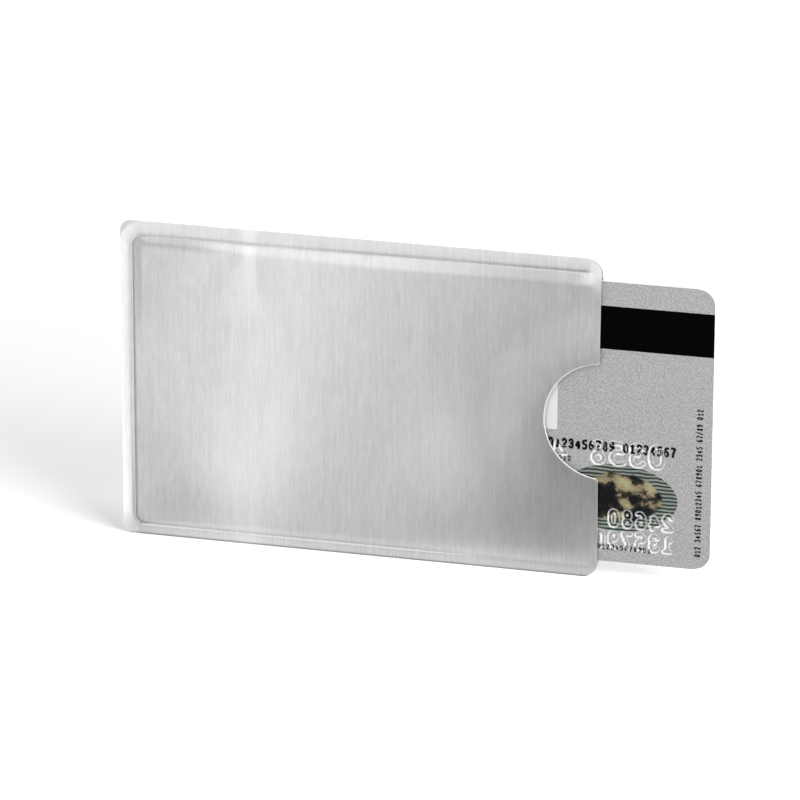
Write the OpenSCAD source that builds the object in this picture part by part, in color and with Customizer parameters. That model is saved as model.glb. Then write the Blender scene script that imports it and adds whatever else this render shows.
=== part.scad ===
/* [Card] */
// Length of the card, along the pocket
card_l = 85.6; // [82:0.1:92]
// Height of the card as it stands on its long edge
card_h = 53.98; // [50:0.01:60]
// Radius of the card's corners
card_corner_r = 3.18; // [2:0.01:5]
// Thickness of each printed outer overlay
overlay_t = 0.06; // [0.05:0.01:0.1]
// Thickness of each core sheet
core_sheet_t = 0.22; // [0.18:0.01:0.3]
// Thickness of the inlay that carries the antenna
inlay_t = 0.2; // [0.18:0.01:0.3]
// How far the card stands out of the mouth at rest
card_out = 20.9; // [17:0.1:40]

/* [Card back] */
// Thickness of the stripe, the panel and the patch that lie in the back overlay
trim_t = 0.02; // [0.01:0.005:0.03]
// Distance from the card's top edge to the magnetic stripe
stripe_top = 4.6; // [4:0.1:6]
// Height of the magnetic stripe
stripe_h = 8.25; // [6:0.05:10]
// Distance from the card's outer end to the signature panel
signature_end = 28.8; // [25:0.1:32]
// Distance from the card's top edge to the signature panel
signature_top = 17.2; // [16.5:0.1:19]
// Length of the signature panel
signature_l = 53; // [40:0.5:54]
// Height of the signature panel
signature_h = 12; // [8:0.1:13]
// Distance from the card's outer end to the hologram patch
hologram_end = 6.2; // [5:0.05:8]
// Distance from the card's top edge to the hologram patch
hologram_top = 34.9; // [33:0.1:37]
// Length of the oval hologram patch
hologram_l = 22; // [16:0.1:24]
// Height of the oval hologram patch
hologram_h = 13; // [10:0.1:14]

/* [Chip and antenna] */
// Length of the contact plate
contact_l = 12.6; // [11:0.1:14]
// Height of the contact plate
contact_h = 11.4; // [10:0.1:13]
// Thickness of the contact plate
contact_t = 0.14; // [0.1:0.01:0.2]
// Radius of the contact plate's corners
contact_corner_r = 1.6; // [1:0.1:2.5]
// Distance from the card's outer end to the contact plate
contact_end = 9.1; // [8:0.1:12]
// Distance from the card's top edge to the contact plate
contact_top = 18.2; // [17:0.1:20]
// Width of the grooves between the contact fields
contact_groove_w = 0.22; // [0.1:0.01:0.4]
// Depth of the grooves between the contact fields
contact_groove_d = 0.04; // [0.02:0.01:0.06]
// Side of the square capsule over the chip
capsule_w = 7.4; // [6:0.1:9]
// Thickness of the capsule behind the contact plate
capsule_t = 0.3; // [0.25:0.01:0.32]
// Number of turns of the antenna
antenna_turns = 4; // [3:1:5]
// Distance from the card's edges to the outermost turn
antenna_inset = 3.2; // [2.5:0.1:4]
// Distance from one turn of the antenna to the next
antenna_pitch = 1; // [0.7:0.05:1.2]
// Width of the antenna's track
antenna_w = 0.35; // [0.2:0.05:0.5]
// Thickness of the antenna's track
antenna_t = 0.08; // [0.06:0.01:0.085]

/* [Sleeve layers] */
// Thickness of the brushed outer film
face_film_t = 0.06; // [0.04:0.01:0.12]
// Thickness of the aluminium shielding foil
foil_t = 0.03; // [0.02:0.01:0.06]
// Thickness of the inner liner film
liner_t = 0.08; // [0.05:0.01:0.15]
// How far the foil's edge stays inside the sleeve's edge
foil_inset = 0.9; // [0.6:0.1:1.5]
// How far the liner's edge stays inside the sleeve's edge
liner_inset = 0.3; // [0.2:0.05:0.5]

/* [Sleeve fit] */
// Free space between each long edge of the card and the weld beside it
side_gap = 1.25; // [0.9:0.05:2]
// Free space between the card's inner end and the closed end's weld, pushed fully in
end_gap = 1.55; // [1:0.05:4]
// How far the card's outer end then lies inside the mouth
mouth_gap = 1.5; // [0:0.1:4]
// Free space beside the card's faces where the front panel has sunk at the closed end
sunk_clearance = 0.1; // [0.08:0.01:0.2]
// Free space beside the card's faces where the front panel leaves the card's inner end
crease_clearance = 0.35; // [0.2:0.01:0.45]
// Free space beside the card's faces over the rest of the pocket
pocket_clearance = 0.48; // [0.46:0.01:0.7]
// Length from the weld over which a panel rises to its full height
shoulder_l = 2; // [1.6:0.1:3]
// Length past the card's inner end over which the front panel rises to its full height
drape_l = 24; // [12:1:30]
// Radius of the pocket's two inner corners
pocket_corner_r = 1.8; // [1:0.1:3]

/* [Sleeve edges] */
// Width of the weld at the closed end
closed_weld_w = 2.35; // [2:0.05:4]
// Width of the weld along the top edge
top_weld_w = 2.75; // [2:0.05:4]
// Width of the weld along the bottom edge
bottom_weld_w = 2.25; // [2:0.05:4]
// How far the two long welds stop short of the mouth
weld_stop = 2.2; // [1.5:0.1:4]
// Half the weld's thickness at its pinched inner line
weld_pinch = 0.05; // [0.04:0.01:0.08]
// Half the weld's thickness along its crest
weld_crest = 0.13; // [0.1:0.01:0.2]
// Half the weld's thickness at the sleeve's edge
weld_edge = 0.08; // [0.06:0.01:0.09]
// How far each panel lifts at the open ends of the two long welds
lip_lift = 0.12; // [0.05:0.01:0.2]
// Free space between a weld and the liners on its two sides
weld_clearance = 0.01; // [0.005:0.005:0.02]
// Radius of the two corners at the closed end
closed_corner_r = 2; // [1:0.1:4]
// Radius of the two corners at the mouth
mouth_corner_r = 3.2; // [2:0.1:5]

/* [Thumb notch] */
// Length of the notch along the mouth
notch_chord = 22.1; // [16:0.1:26]
// Depth of the notch
notch_depth = 10.2; // [7:0.1:12]
// How far the brushed film stays back from the liner's rim around the notch
notch_rim = 0.35; // [0.2:0.05:0.5]

/* [Hidden] */
$fn = 64;

card_t = 2 * overlay_t + 2 * core_sheet_t + inlay_t;
sleeve_l = closed_weld_w + end_gap + card_l + mouth_gap;
sleeve_h = bottom_weld_w + side_gap + card_h + side_gap + top_weld_w;
total_l = sleeve_l + card_out;

// Sleeve places, measured from the closed end and from the bottom edge
pocket_top = sleeve_h - top_weld_w;
shoulder_end = closed_weld_w + shoulder_l;
weld_end = sleeve_l - weld_stop;
notch_overhang = (pow(notch_chord / 2, 2) - pow(notch_depth, 2)) / (2 * notch_depth);
notch_r = notch_depth + notch_overhang;

// Half gaps between the two liners
sunk_gap = card_t / 2 + sunk_clearance;
crease_gap = card_t / 2 + crease_clearance;
full_gap = card_t / 2 + pocket_clearance;
// Difference in height over which a shoulder blends into the flat of its panel
blend_gap = 0.12;
// Steepness of the shoulders
shoulder_power = 3;
// Where a weld's crest starts and ends, as shares of its width from the inner line
crest_from = 0.3;
crest_to = 0.62;

// Distance of each layer's outer face from the liner's inner face
foil_out = liner_t + foil_t;
face_out = foil_out + face_film_t;
panel_reach = 2 * (full_gap + face_out);

// Card places
card_x0 = total_l - card_l;
card_z0 = bottom_weld_w + side_gap;
card_top = card_z0 + card_h;
back_y = -card_t / 2;
back_sheet_y = back_y + overlay_t;
inlay_y = back_sheet_y + core_sheet_t;
front_sheet_y = inlay_y + inlay_t;
front_overlay_y = front_sheet_y + core_sheet_t;
front_y = card_t / 2;
contact_x = total_l - contact_end - contact_l / 2;
contact_z = card_top - contact_top - contact_h / 2;
contact_y = front_y - contact_t;
// Size of the contact fields at the plate's two sides
contact_field_h = 2.54;
contact_field_w = 4.1;
capsule_y = contact_y - capsule_t;
capsule_corner_r = 1;
signature_corner_r = 0.2;
// Angle from one point of the hologram patch's outline to the next
oval_step = 6;

// Antenna places, inside the card's edges and beside the capsule
antenna_left = card_x0 + antenna_inset;
antenna_right = total_l - antenna_inset;
antenna_low = card_z0 + antenna_inset;
antenna_high = card_top - antenna_inset;
antenna_end = antenna_right - antenna_turns * antenna_pitch;
// Distance of each of the antenna's two leads from the chip's middle
lead_spread = 1.5;
inner_lead_z = contact_z + lead_spread;
outer_lead_z = contact_z - lead_spread;

// Cuts run this much past the face that they open
cut = 0.5;
// A trim's place in its recess, and the antenna's in its groove, have this much play
seat_play = 0.02;

// Rows and columns of points at which the panels are worked out
weld_steps = [crest_from, crest_to];
shoulder_steps = [0, 0.09, 0.2, 0.36, 0.6, 1];
sunk_steps = [0.5, 0.72, 0.88, 1];
drape_steps = [0.12, 0.3, 0.6, 1];
// The grid runs this much past the sleeve's outline, which trims it
spill = 0.5;
columns = concat(
    [-spill],
    [for (s = [len(weld_steps) - 1:-1:0]) closed_weld_w * (1 - weld_steps[s])],
    [for (s = shoulder_steps) closed_weld_w + s * shoulder_l],
    [for (s = sunk_steps) shoulder_end + s * (card_x0 - shoulder_end)],
    [for (s = drape_steps) card_x0 + s * drape_l],
    [weld_end, (weld_end + sleeve_l) / 2, sleeve_l + spill]
);
rows = concat(
    [-spill],
    [for (s = [len(weld_steps) - 1:-1:0]) bottom_weld_w * (1 - weld_steps[s])],
    [for (s = shoulder_steps) bottom_weld_w + s * shoulder_l],
    [sleeve_h / 2],
    [for (s = [len(shoulder_steps) - 1:-1:0]) pocket_top - shoulder_steps[s] * shoulder_l],
    [for (s = weld_steps) pocket_top + s * top_weld_w],
    [sleeve_h + spill]
);
closed_columns = [for (x = columns) if (x < closed_weld_w + pocket_corner_r) x];
weld_split = max(closed_columns);
long_columns = [for (x = columns) if (x >= weld_split && x <= weld_end) x];
low_rows = [for (z = rows) if (z < bottom_weld_w + pocket_corner_r) z];
high_rows = [for (z = rows) if (z > pocket_top - pocket_corner_r) z];

// Distance of a point inside the pocket from the nearest weld
function weld_distance(x, z) =
    let (
        a = x - closed_weld_w,
        b = min(z - bottom_weld_w, pocket_top - z),
        corner = pocket_corner_r
    )
    (a < corner && b < corner) ? corner - norm([corner - a, corner - b]) : min(a, b);

// Place of a point across a weld, 0 at the inner line and 1 at the sleeve's edge
function weld_share(x, z) = max(
    0,
    (closed_weld_w - x) / closed_weld_w,
    (bottom_weld_w - z) / bottom_weld_w,
    (z - pocket_top) / top_weld_w
);

// Half thickness of a weld: a pinched inner line, a flat crest and a thinner edge
function weld_gap(share) =
    share < crest_from ? weld_pinch + (weld_crest - weld_pinch) * share / crest_from :
    share < crest_to ? weld_crest :
    weld_crest - (weld_crest - weld_edge) * (share - crest_to) / (1 - crest_to);

// Rise of a panel from the weld, 0 at the weld and 1 past the shoulder
function shoulder(distance) =
    1 - pow(1 - min(max(distance, 0) / shoulder_l, 1), shoulder_power);

// Lift of the lips past the ends of the long welds
function lip(x, z) =
    lip_lift * min(max((x - weld_end) / weld_stop, 0), 1) * (1 - shoulder(weld_distance(x, z)));

// Half gap that the front panel has left where it drapes over the card's inner end
function draped_gap(x) =
    x < card_x0
        ? sunk_gap + (crease_gap - sunk_gap) * pow(max(x, 0) / card_x0, 2)
        : full_gap - (full_gap - crease_gap) * pow(max(1 - (x - card_x0) / drape_l, 0), 2);

// The smaller of two lengths, with a rounded change from one to the other
function soft_min(a, b, blend) =
    let (near = max(blend - abs(a - b), 0) / blend)
    min(a, b) - near * near * blend / 4;

// Half gap between the liners at a point of the sleeve
function half_gap(x, z, draped) =
    let (
        distance = weld_distance(x, z),
        risen = full_gap + blend_gap / 4,
        rise = weld_pinch + (risen - weld_pinch) * shoulder(distance),
        plateau = draped ? draped_gap(x) : full_gap,
        pocket_gap = max(soft_min(plateau, rise, blend_gap), weld_pinch)
    )
    lip(x, z) + (distance <= 0 ? weld_gap(weld_share(x, z)) : pocket_gap);

// A sheet on a grid of points, from its low side at y = low to its high side at y = high
module grid_sheet(xs, zs, low, high) {
    nx = len(xs);
    nz = len(zs);
    points = [
        for (i = [0:nx - 1]) for (j = [0:nz - 1]) for (y = [low[i][j], high[i][j]]) [xs[i], y, zs[j]]
    ];
    function at(i, j, k) = (i * nz + j) * 2 + k;
    // Both sides split each cell along the same diagonal, so that stacked sheets fit face to face
    function halves(a, b, c, d) = [[a, b, c], [a, c, d]];
    function high_cell(i, j) =
        halves(at(i, j, 1), at(i + 1, j, 1), at(i + 1, j + 1, 1), at(i, j + 1, 1));
    function low_cell(i, j) =
        halves(at(i, j, 0), at(i, j + 1, 0), at(i + 1, j + 1, 0), at(i + 1, j, 0));
    function first_side(j) =
        halves(at(0, j, 0), at(0, j, 1), at(0, j + 1, 1), at(0, j + 1, 0));
    function last_side(j) =
        halves(at(nx - 1, j, 0), at(nx - 1, j + 1, 0), at(nx - 1, j + 1, 1), at(nx - 1, j, 1));
    function under_side(i) =
        halves(at(i, 0, 0), at(i + 1, 0, 0), at(i + 1, 0, 1), at(i, 0, 1));
    function upper_side(i) =
        halves(at(i, nz - 1, 0), at(i, nz - 1, 1), at(i + 1, nz - 1, 1), at(i + 1, nz - 1, 0));
    faces = [
        for (i = [0:nx - 2]) for (j = [0:nz - 2]) each concat(high_cell(i, j), low_cell(i, j)),
        for (j = [0:nz - 2]) each concat(first_side(j), last_side(j)),
        for (i = [0:nx - 2]) each concat(under_side(i), upper_side(i))
    ];
    polyhedron(points, faces);
}

// A flat outline in x and z, made solid from y = from to y = to
module upright(from, to) {
    translate([0, to, 0])
        rotate([90, 0, 0])
            linear_extrude(to - from)
                children();
}

// A rectangle from the origin, with one corner radius at its low end and one at its high end
module rounded_plate(length, height, low_r, high_r) {
    translate([low_r, 0])
        square([length - low_r - high_r, height]);
    translate([0, low_r])
        square([length / 2, height - 2 * low_r]);
    translate([length / 2, high_r])
        square([length / 2, height - 2 * high_r]);
    for (z = [low_r, height - low_r])
        translate([low_r, z])
            circle(low_r);
    for (z = [high_r, height - high_r])
        translate([length - high_r, z])
            circle(high_r);
}

// The outline of one layer of the sleeve, with its thumb notch
module sleeve_outline(inset, rim) {
    difference() {
        translate([inset, inset])
            rounded_plate(
                sleeve_l - 2 * inset, sleeve_h - 2 * inset,
                closed_corner_r - inset, mouth_corner_r - inset
            );
        translate([sleeve_l + notch_overhang, sleeve_h / 2])
            circle(notch_r + rim);
    }
}

// One layer of a panel, on the +y side
module panel_layer(near, far, draped, inset, rim) {
    gap = [for (x = columns) [for (z = rows) half_gap(x, z, draped)]];
    intersection() {
        grid_sheet(
            columns, rows,
            [for (column = gap) [for (g = column) g + near]],
            [for (column = gap) [for (g = column) g + far]]
        );
        upright(-panel_reach, panel_reach)
            sleeve_outline(inset, rim);
    }
}

// The welded film between the two liners, over a part of the grid
module weld_band(xs, zs) {
    gap = [for (x = xs) [for (z = zs) half_gap(x, z, false) - weld_clearance]];
    intersection() {
        grid_sheet(xs, zs, -gap, gap);
        upright(-panel_reach, panel_reach)
            difference() {
                sleeve_outline(0, 0);
                translate([closed_weld_w, bottom_weld_w])
                    rounded_plate(
                        sleeve_l, pocket_top - bottom_weld_w,
                        pocket_corner_r, pocket_corner_r
                    );
            }
    }
}

// Moves what is measured from the closed end so that the whole part is centred on x = 0
module placed() {
    translate([-total_l / 2, 0, 0])
        children();
}

module front_face_film() {
    color("#c4c6c8")
        placed()
            mirror([0, 1, 0])
                panel_layer(foil_out, face_out, true, 0, notch_rim);
}

module front_shield_foil() {
    color("#a9adb1")
        placed()
            mirror([0, 1, 0])
                panel_layer(liner_t, foil_out, true, foil_inset, foil_inset);
}

module front_liner_film() {
    color("#eceeee")
        placed()
            mirror([0, 1, 0])
                panel_layer(0, liner_t, true, liner_inset, 0);
}

module back_face_film() {
    color("#c4c6c8")
        placed()
            panel_layer(foil_out, face_out, false, 0, notch_rim);
}

module back_shield_foil() {
    color("#a9adb1")
        placed()
            panel_layer(liner_t, foil_out, false, foil_inset, foil_inset);
}

module back_liner_film() {
    color("#eceeee")
        placed()
            panel_layer(0, liner_t, false, liner_inset, 0);
}

module closed_end_weld() {
    color("#dfe2e3")
        placed()
            weld_band(closed_columns, rows);
}

module top_weld() {
    color("#dfe2e3")
        placed()
            weld_band(long_columns, high_rows);
}

module bottom_weld() {
    color("#dfe2e3")
        placed()
            weld_band(long_columns, low_rows);
}

// A flat piece of the card from a rectangle, measured from the card's outer end and top edge
module card_patch(end, top, length, height, radius, from, to) {
    upright(from, to)
        translate([total_l - end - length, card_top - top - height])
            rounded_plate(length, height, radius, radius);
}

// One full sheet of the card
module card_sheet(from, to) {
    card_patch(0, 0, card_l, card_h, card_corner_r, from, to);
}

// The oval of the hologram patch, made larger all round by a margin
module oval(from, to, margin) {
    upright(from, to)
        translate([total_l - hologram_end - hologram_l / 2, card_top - hologram_top - hologram_h / 2])
            polygon([
                for (a = [0:oval_step:360 - oval_step])
                    [(hologram_l / 2 + margin) * cos(a), (hologram_h / 2 + margin) * sin(a)]
            ]);
}

// The contact plate's outline, made larger all round by a margin
module contact_outline(from, to, margin) {
    card_patch(
        contact_end - margin, contact_top - margin,
        contact_l + 2 * margin, contact_h + 2 * margin,
        contact_corner_r + margin, from, to
    );
}

// The chip's capsule, centred behind the contact plate and made larger all round by a margin
module capsule_block(from, to, margin) {
    side = capsule_w + 2 * margin;
    card_patch(
        contact_end + (contact_l - side) / 2, contact_top + (contact_h - side) / 2,
        side, side, capsule_corner_r, from, to
    );
}

// Corners of the antenna's turns, moved outwards by half a track's width
function turn_corners(half) = [
    for (i = [0:antenna_turns - 1])
        let (step = i * antenna_pitch)
        each [
            [antenna_right - step + half, antenna_high - step + half],
            [antenna_left + step - half, antenna_high - step + half],
            [antenna_left + step - half, antenna_low + step - half],
            [antenna_right - step - antenna_pitch + half, antenna_low + step - half]
        ]
];

// The same points from last to first
function backwards(points) = [for (i = [len(points) - 1:-1:0]) points[i]];

// The antenna's turns, its lead to the capsule and the bridge that takes its outer end back there
module antenna_track(margin, front_face, back_face) {
    half = antenna_w / 2 + margin;
    capsule_x = contact_x + capsule_w / 2 - margin;
    upright(front_sheet_y - antenna_t, front_face) {
        polygon(concat(
            [[antenna_right + half, outer_lead_z - half]],
            turn_corners(half),
            [[antenna_end + half, inner_lead_z + half], [antenna_end - half, inner_lead_z + half]],
            backwards(turn_corners(-half)),
            [[antenna_right - half, outer_lead_z - half]]
        ));
        translate([capsule_x, inner_lead_z - half])
            square([antenna_end - capsule_x, 2 * half]);
    }
    upright(back_face, inlay_y + antenna_t)
        translate([capsule_x, outer_lead_z - half])
            square([antenna_right + half - capsule_x, 2 * half]);
    upright(back_face, front_face)
        translate([antenna_right - half, outer_lead_z - half])
            square(2 * half);
}

module card_back_overlay() {
    recess_y = back_y + trim_t;
    color("#b9bcbe")
        placed()
            difference() {
                card_sheet(back_y, back_sheet_y);
                translate([card_x0 - cut, back_y - cut, card_top - stripe_top - stripe_h])
                    cube([card_l + 2 * cut, cut + trim_t, stripe_h]);
                card_patch(
                    signature_end, signature_top, signature_l, signature_h,
                    signature_corner_r, back_y - cut, recess_y
                );
                oval(back_y - cut, recess_y, 0);
            }
}

module magnetic_stripe() {
    color("#141416")
        placed()
            translate([card_x0, back_y, card_top - stripe_top - stripe_h])
                cube([card_l, trim_t, stripe_h]);
}

module signature_panel() {
    color("#f1f1ee")
        placed()
            card_patch(
                signature_end + seat_play, signature_top + seat_play,
                signature_l - 2 * seat_play, signature_h - 2 * seat_play,
                signature_corner_r - seat_play, back_y, back_y + trim_t
            );
}

module hologram_patch() {
    color("#8d9a83")
        placed()
            oval(back_y, back_y + trim_t, -seat_play);
}

module card_back_sheet() {
    color("#e8e9ea")
        placed()
            card_sheet(back_sheet_y, inlay_y);
}

module card_inlay() {
    color("#f3f3f1")
        placed()
            difference() {
                card_sheet(inlay_y, front_sheet_y);
                antenna_track(seat_play, front_sheet_y + cut, inlay_y - cut);
                capsule_block(capsule_y, front_sheet_y + cut, seat_play);
            }
}

module card_front_sheet() {
    color("#e8e9ea")
        placed()
            difference() {
                card_sheet(front_sheet_y, front_overlay_y);
                contact_outline(contact_y, front_overlay_y + cut, seat_play);
                capsule_block(front_sheet_y - cut, contact_y + cut, seat_play);
            }
}

module card_front_overlay() {
    color("#b9bcbe")
        placed()
            difference() {
                card_sheet(front_overlay_y, front_y);
                contact_outline(front_overlay_y - cut, front_y + cut, seat_play);
            }
}

module contact_plate() {
    field_edge = contact_l / 2 - contact_field_w;
    color("#d2a94e")
        placed()
            difference() {
                contact_outline(contact_y, front_y, 0);
                for (side = [-1, 1]) {
                    translate([
                        contact_x + side * field_edge - contact_groove_w / 2,
                        front_y - contact_groove_d,
                        contact_z - contact_h
                    ])
                        cube([contact_groove_w, contact_groove_d + cut, 2 * contact_h]);
                    for (row = [-1:1])
                        translate([
                            contact_x + side * (field_edge + contact_l / 2) - contact_l / 2,
                            front_y - contact_groove_d,
                            contact_z + row * contact_field_h - contact_groove_w / 2
                        ])
                            cube([contact_l, contact_groove_d + cut, contact_groove_w]);
                }
            }
}

module chip_capsule() {
    color("#1d1d20")
        placed()
            capsule_block(capsule_y, contact_y, 0);
}

module antenna_coil() {
    color("#b5713a")
        placed()
            antenna_track(0, front_sheet_y, inlay_y);
}

front_face_film();
front_shield_foil();
front_liner_film();
back_face_film();
back_shield_foil();
back_liner_film();
closed_end_weld();
top_weld();
bottom_weld();
card_back_overlay();
card_back_sheet();
card_inlay();
card_front_sheet();
card_front_overlay();
magnetic_stripe();
signature_panel();
hologram_patch();
contact_plate();
chip_capsule();
antenna_coil();
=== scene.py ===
from functools import cache
from math import cos, pi, radians, sin

import bpy
import numpy as np
from mathutils import Matrix, Vector


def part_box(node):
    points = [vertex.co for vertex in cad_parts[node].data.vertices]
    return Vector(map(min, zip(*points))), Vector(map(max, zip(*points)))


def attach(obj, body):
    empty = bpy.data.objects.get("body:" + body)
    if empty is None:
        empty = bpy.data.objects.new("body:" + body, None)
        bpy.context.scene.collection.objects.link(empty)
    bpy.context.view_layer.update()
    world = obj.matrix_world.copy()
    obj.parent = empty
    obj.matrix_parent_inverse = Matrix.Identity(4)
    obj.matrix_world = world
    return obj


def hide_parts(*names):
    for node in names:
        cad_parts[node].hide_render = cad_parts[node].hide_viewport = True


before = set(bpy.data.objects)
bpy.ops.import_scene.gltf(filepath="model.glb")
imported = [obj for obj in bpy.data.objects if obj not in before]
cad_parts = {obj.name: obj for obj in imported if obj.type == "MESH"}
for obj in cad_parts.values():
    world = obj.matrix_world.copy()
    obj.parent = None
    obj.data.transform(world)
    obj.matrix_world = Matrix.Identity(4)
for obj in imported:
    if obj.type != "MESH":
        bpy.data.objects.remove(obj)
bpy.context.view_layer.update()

MM = 0.001

# Places of the sleeve and the card, in millimetres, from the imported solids
SLEEVE_LOW, SLEEVE_HIGH = [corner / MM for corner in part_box("front_face_film")]
CARD_LOW, CARD_HIGH = [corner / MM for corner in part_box("card_back_sheet")]
FRONT_LOW, FRONT_HIGH = [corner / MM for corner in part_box("card_front_overlay")]
HOLOGRAM_LOW, HOLOGRAM_HIGH = [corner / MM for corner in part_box("hologram_patch")]
CONTACT_LOW, CONTACT_HIGH = [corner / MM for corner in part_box("contact_plate")]
CLOSED_X = SLEEVE_LOW.x
SLEEVE_L = SLEEVE_HIGH.x - SLEEVE_LOW.x
SLEEVE_H = SLEEVE_HIGH.z
CARD_L = CARD_HIGH.x - CARD_LOW.x
CARD_TOP = CARD_HIGH.z
CARD_FOOT = CARD_LOW.z
CARD_H = CARD_TOP - CARD_FOOT
CARD_CORNER_R = 3.18
CARD_BACK_Y = [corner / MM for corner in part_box("card_back_overlay")][0].y
CARD_FRONT_Y = FRONT_HIGH.y
CARD_END = CARD_LOW.x - CLOSED_X

# Films of the sleeve, in millimetres
LINER_T = 0.08
FOIL_T = 0.03
FACE_T = 0.06
FOIL_INSET = 0.9
LINER_INSET = 0.3

# The pocket's gap over the card: sunk near the closed end, creased over the card's inner end
# and full past it
SUNK_CLEARANCE = 0.1
CREASE_CLEARANCE = 0.35
POCKET_CLEARANCE = 0.48
SUNK_TO = 6
CREASE_POWER = 1.5
DRAPE_L = 24
BLEND_GAP = 0.12
POCKET_CORNER_R = 1.8

# Shoulders from the welds to the pocket: short at the closed end and longer along the sides
END_SHOULDER_L = 0.12
SHOULDER_L = 2.6
SHOULDER_FROM = 3
SHOULDER_TO = 6.5
SHOULDER_POWER = 1.7

# Welds: widths, half thicknesses, and shares of the width between which the crest rises
CLOSED_WELD_W = 2.35
TOP_WELD_W = 2.75
BOTTOM_WELD_W = 2.25
WELD_STOP = 2.2
WELD_PINCH = 0.05
WELD_CREST = 0.24
WELD_EDGE = 0.04
PINCH_TO = 0.02
CREST_FROM = 0.2
SLOPE_POWER = 1.3

# How much shallower the pinched line is towards the mouth and at the closed end
MOUTH_PINCH = 0.15
MOUTH_PINCH_SPAN = (45, 82)
END_PINCH = 0.13
END_PINCH_SPAN = (2.5, 5)

# The mouth past the welds, where the panels' long edges lean together
OPEN_EDGE = -0.075
OPEN_L = 7
OPEN_POWER = 2.2
OPEN_BEFORE = 0.7
OPEN_AFTER = 1.6

# Outline of the panels
CLOSED_CORNER_R = 2
MOUTH_CORNER_R = 3.2
NOTCH_CHORD = 22.1
NOTCH_DEPTH = 10.2
NOTCH_RIM = 0.08
NOTCH_OVERHANG = ((NOTCH_CHORD / 2) ** 2 - NOTCH_DEPTH ** 2) / (2 * NOTCH_DEPTH)
NOTCH_R = NOTCH_DEPTH + NOTCH_OVERHANG
POCKET_TOP = SLEEVE_H - TOP_WELD_W
WELD_END = SLEEVE_L - WELD_STOP


def rise(value, low, high):
    """0 below low, 1 above high and a smooth change between them."""
    share = np.clip((value - low) / (high - low), 0, 1)
    return share * share * (3 - 2 * share)


def bump(value, middle, width):
    """A bell of height 1 around middle."""
    return np.exp(-(((value - middle) / width) ** 2))


def past_corner(x, z):
    """How far a point lies past the centres of the pocket's round corners, outwards."""
    past_x = CLOSED_WELD_W + POCKET_CORNER_R - x
    past_z = np.maximum(BOTTOM_WELD_W + POCKET_CORNER_R - z, z - POCKET_TOP + POCKET_CORNER_R)
    return past_x, past_z


def weld_distance(x, z):
    """Distance of a point from the nearest weld, negative within the welds."""
    past_x, past_z = past_corner(x, z)
    outside = np.hypot(np.maximum(past_x, 0), np.maximum(past_z, 0))
    return POCKET_CORNER_R - outside - np.minimum(np.maximum(past_x, past_z), 0)


def weld_share(x, z):
    """Place across a weld, 0 at its inner line and 1 at the sleeve's edge."""
    past_x, past_z = past_corner(x, z)
    along_end, along_side = np.maximum(past_x, 1e-6), np.maximum(past_z, 1e-6)
    side_w = np.where(z > SLEEVE_H / 2, TOP_WELD_W, BOTTOM_WELD_W)
    width = (along_end * CLOSED_WELD_W + along_side * side_w) / (along_end + along_side)
    return np.clip(-weld_distance(x, z) / width, 0, 1)


def pinch(x):
    """Half gap along the welds' inner line, which is shallower towards both ends."""
    towards_mouth = MOUTH_PINCH * rise(x, *MOUTH_PINCH_SPAN)
    return WELD_PINCH + towards_mouth + END_PINCH * (1 - rise(x, *END_PINCH_SPAN))


def weld_gap(share, x):
    """Half thickness of a weld: a pinched inner line, a round crest and a long outer slope."""
    flank = pinch(x) + (WELD_CREST - pinch(x)) * rise(share, PINCH_TO, CREST_FROM)
    past_crest = np.clip((share - CREST_FROM) / (1 - CREST_FROM), 0, 1)
    return flank - (WELD_CREST - WELD_EDGE) * past_crest ** SLOPE_POWER


def shoulder(distance, x):
    """Rise of a panel from the weld, 0 at the weld and 1 past the shoulder."""
    reach = END_SHOULDER_L + (SHOULDER_L - END_SHOULDER_L) * rise(x, SHOULDER_FROM, SHOULDER_TO)
    return 1 - (1 - np.clip(distance / reach, 0, 1)) ** SHOULDER_POWER


def soft_min(a, b):
    """The smaller of two heights, with a rounded change from one to the other."""
    near = np.maximum(BLEND_GAP - np.abs(a - b), 0) / BLEND_GAP
    return np.minimum(a, b) - near * near * BLEND_GAP / 4


def plateau(x, draped):
    """Half gap of a panel past its shoulders. The front one drapes over the card's inner end."""
    half_card = CARD_FRONT_Y
    full = half_card + POCKET_CLEARANCE
    if not draped:
        return full + 0 * x
    sunk = half_card + SUNK_CLEARANCE
    crease = half_card + CREASE_CLEARANCE
    before = sunk + (crease - sunk) * rise(x, SUNK_TO, CARD_END + 1) ** CREASE_POWER
    after = full - (full - crease) * np.maximum(1 - (x - CARD_END) / DRAPE_L, 0) ** 2
    return np.where(x < CARD_END, before, after)


def half_gap(x, z, draped):
    """Half gap between the liners at a point of the sleeve."""
    distance = weld_distance(x, z)
    full = CARD_FRONT_Y + POCKET_CLEARANCE + BLEND_GAP / 4
    risen = pinch(x) + (full - pinch(x)) * shoulder(distance, x)
    pocket = np.maximum(soft_min(plateau(x, draped), risen), pinch(x))
    welded = np.where(distance <= 0, weld_gap(weld_share(x, z), x), pocket)
    from_edge = np.clip(np.minimum(z, SLEEVE_H - z) / OPEN_L, 0, 1)
    leaning = OPEN_EDGE + (full - OPEN_EDGE) * (1 - (1 - from_edge) ** OPEN_POWER)
    return welded + (leaning - welded) * rise(x, WELD_END - OPEN_BEFORE, WELD_END + OPEN_AFTER)


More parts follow.
